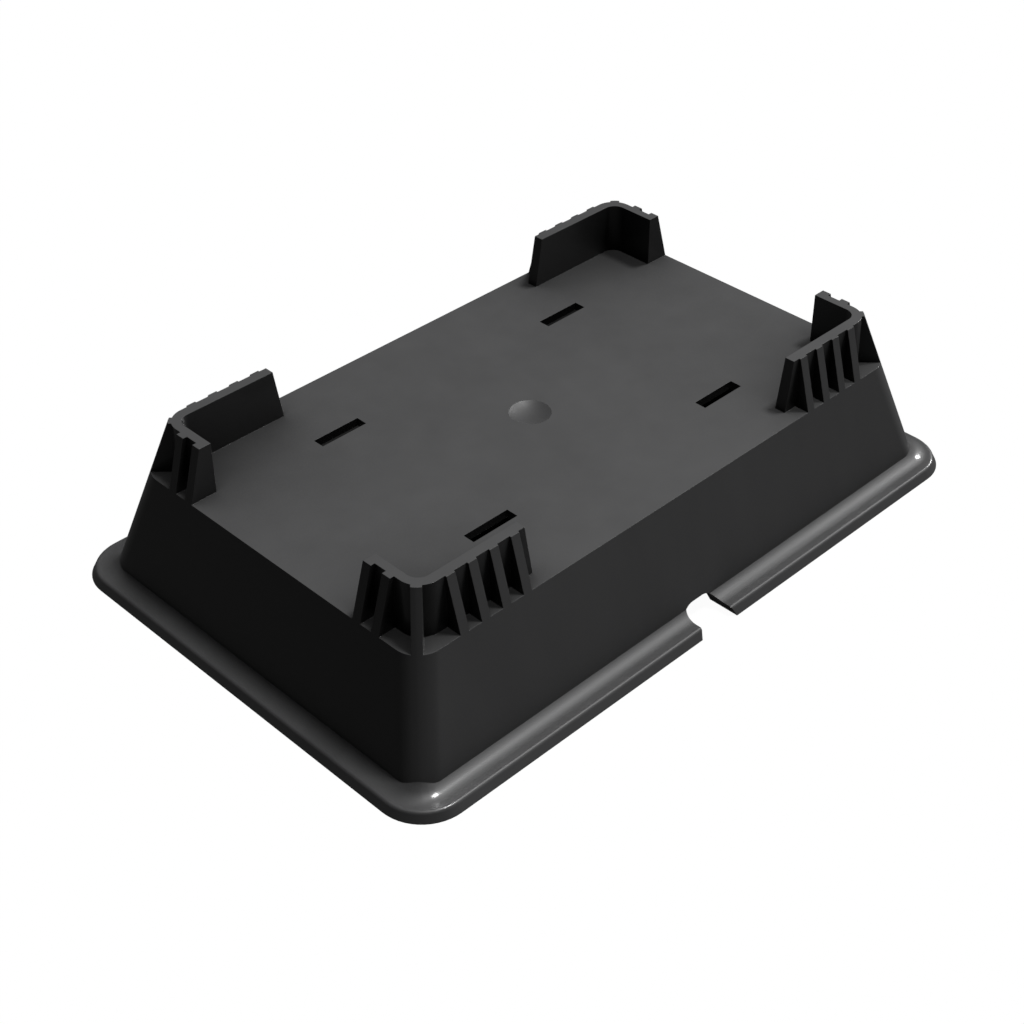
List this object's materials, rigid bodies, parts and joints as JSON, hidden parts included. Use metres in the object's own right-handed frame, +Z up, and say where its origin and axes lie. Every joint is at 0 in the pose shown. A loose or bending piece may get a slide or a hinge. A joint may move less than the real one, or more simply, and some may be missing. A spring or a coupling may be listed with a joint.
{
  "type": "roof mounting base",
  "caption": "Low one-piece plastic base for a flat roof: sloped walls, bonding rim, level plate with strap slots, and ribbed corner brackets that hold a rectangular load.",
  "frame": {"origin": "middle of the rim's flat underside, on the roof", "axes": "+X along the long side, +Y towards the rear long wall, +Z up, away from the roof"},
  "size_m": [0.3806, 0.2518, 0.0888],
  "materials": {
    "black_plastic": "moulded black, fine satin grain"
  },
  "bodies": {
    "root": {"mounting_base": "black_plastic"}
  },
  "joints": []
}
